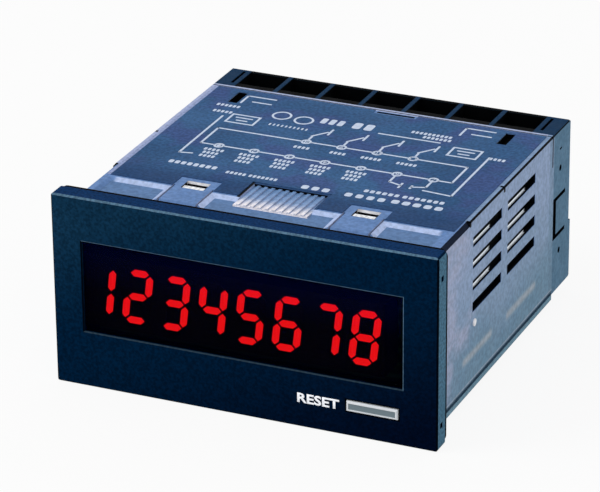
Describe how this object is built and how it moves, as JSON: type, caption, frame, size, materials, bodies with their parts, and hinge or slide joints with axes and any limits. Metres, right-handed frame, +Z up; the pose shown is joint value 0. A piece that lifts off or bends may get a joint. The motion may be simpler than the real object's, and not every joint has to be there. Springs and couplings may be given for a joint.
{
  "type": "panel counter",
  "caption": "Flush-mount electronic panel counter: slim dark bezel with lit red digits and a reset key, vented box case and rear screw terminal block.",
  "frame": {"origin": "centre of the panel seat, in the rear plane of the gasket behind the bezel", "axes": "+Y back into the panel, +Z up, +X to the right seen from the front"},
  "size_m": [0.072, 0.0717, 0.036],
  "materials": {
    "bezel_plastic": "fine matt texture, dark navy",
    "smoked_lens": "polished, smoked",
    "key_plastic": "satin, pale grey",
    "gasket_rubber": "matt, black",
    "case_plastic": "fine satin texture, grey blue",
    "label_film": "satin printed film, dark blue",
    "block_plastic": "satin, dark grey blue",
    "display_black": "matt, black",
    "segment_red": "lit red window",
    "segment_dark": "unlit window",
    "board": "solder mask, green",
    "pale_board": "pale board",
    "switch_black": "matt, black",
    "plunger_orange": "matt, orange",
    "pin_brass": "tinned",
    "core_steel": "laminated",
    "coil_cream": "taped",
    "cap_sleeve": "shrink sleeve",
    "chip_black": "moulded",
    "coupler_white": "moulded",
    "screw_steel": "zinc plated"
  },
  "bodies": {
    "housing": {"front_bezel": "bezel_plastic", "display_window": "smoked_lens", "panel_gasket": "gasket_rubber", "case": "case_plastic", "diagram_label": "label_film", "terminal_block": "block_plastic", "led_module_left": "display_black", "led_module_right": "display_black", "lit_segments": "segment_red", "dark_segments": "segment_dark", "display_board": "board", "reset_switch": "switch_black", "main_board": "board", "side_board": "pale_board", "terminal_board": "board", "board_link_pins": "pin_brass", "transformer_core": "core_steel", "transformer_coil": "coil_cream", "filter_capacitors": "cap_sleeve", "controller_chip": "chip_black", "photocouplers": "coupler_white", "upper_terminal_plates": "pin_brass", "lower_terminal_plates": "pin_brass", "upper_clamp_washers": "screw_steel", "lower_clamp_washers": "screw_steel", "upper_terminal_screws": "screw_steel", "lower_terminal_screws": "screw_steel"},
    "key": {"reset_key": "key_plastic", "switch_plunger": "plunger_orange"}
  },
  "joints": [
    {"name": "reset_key_press", "type": "slide", "parent": "housing", "child": "key", "axis": [0, 1, 0], "range_m": [0, 0.0005], "stiffness_N_per_m": 600, "springref_m": -0.0005}
  ]
}
